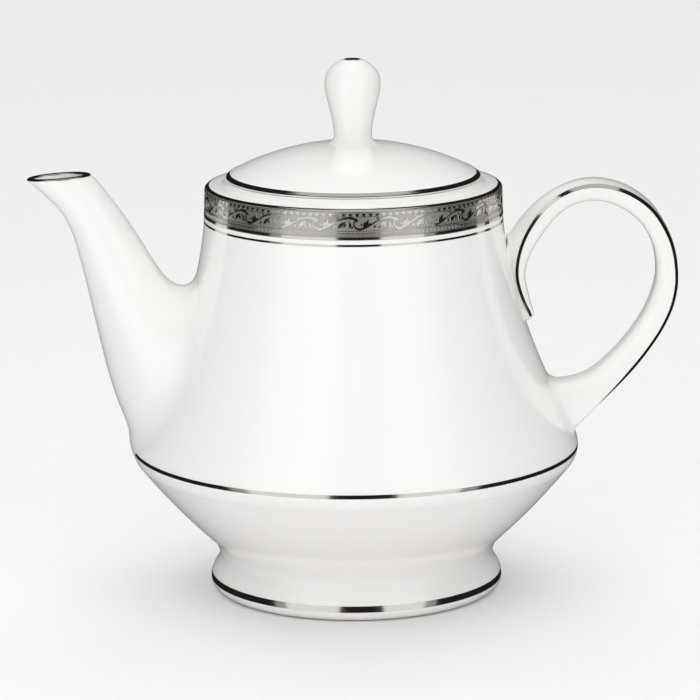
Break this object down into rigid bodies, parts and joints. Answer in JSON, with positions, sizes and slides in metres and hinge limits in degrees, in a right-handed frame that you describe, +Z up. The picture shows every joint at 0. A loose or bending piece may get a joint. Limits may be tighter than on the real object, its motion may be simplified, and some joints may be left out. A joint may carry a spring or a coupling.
{
  "type": "teapot",
  "caption": "Bell-shaped bone china teapot with a round foot, curved spout, looped strap handle and domed lid, trimmed with platinum lines and an etched platinum border.",
  "frame": {"origin": "centre of the foot, on the table", "axes": "+Z up along the pot's axis, +X from the spout to the handle, +Y across the pot"},
  "size_m": [0.2234, 0.1548, 0.1846],
  "materials": {
    "glazed_china": "glossy clear glaze over warm white bone china",
    "bright_platinum": "burnished platinum line, mirror bright",
    "etched_platinum": "acid-etched platinum band, satin ground with a raised pattern"
  },
  "bodies": {
    "pot": {"body_shell": "glazed_china", "foot_ring": "glazed_china", "spout": "glazed_china", "handle": "glazed_china", "rim_edge_line": "bright_platinum", "border_band": "etched_platinum", "border_lower_line": "bright_platinum", "waist_line": "bright_platinum", "foot_line": "bright_platinum", "spout_lip_line": "bright_platinum", "handle_line_front": "bright_platinum", "handle_line_back": "bright_platinum"},
    "lid": {"lid_cap": "glazed_china", "lid_flange": "glazed_china", "lid_knob": "glazed_china", "lid_edge_line": "bright_platinum", "knob_top_dot": "bright_platinum"}
  },
  "joints": [
    {"name": "lid_lift", "type": "slide", "parent": "pot", "child": "lid", "axis": [0, 0, 1], "range_m": [0, 0.06]}
  ]
}
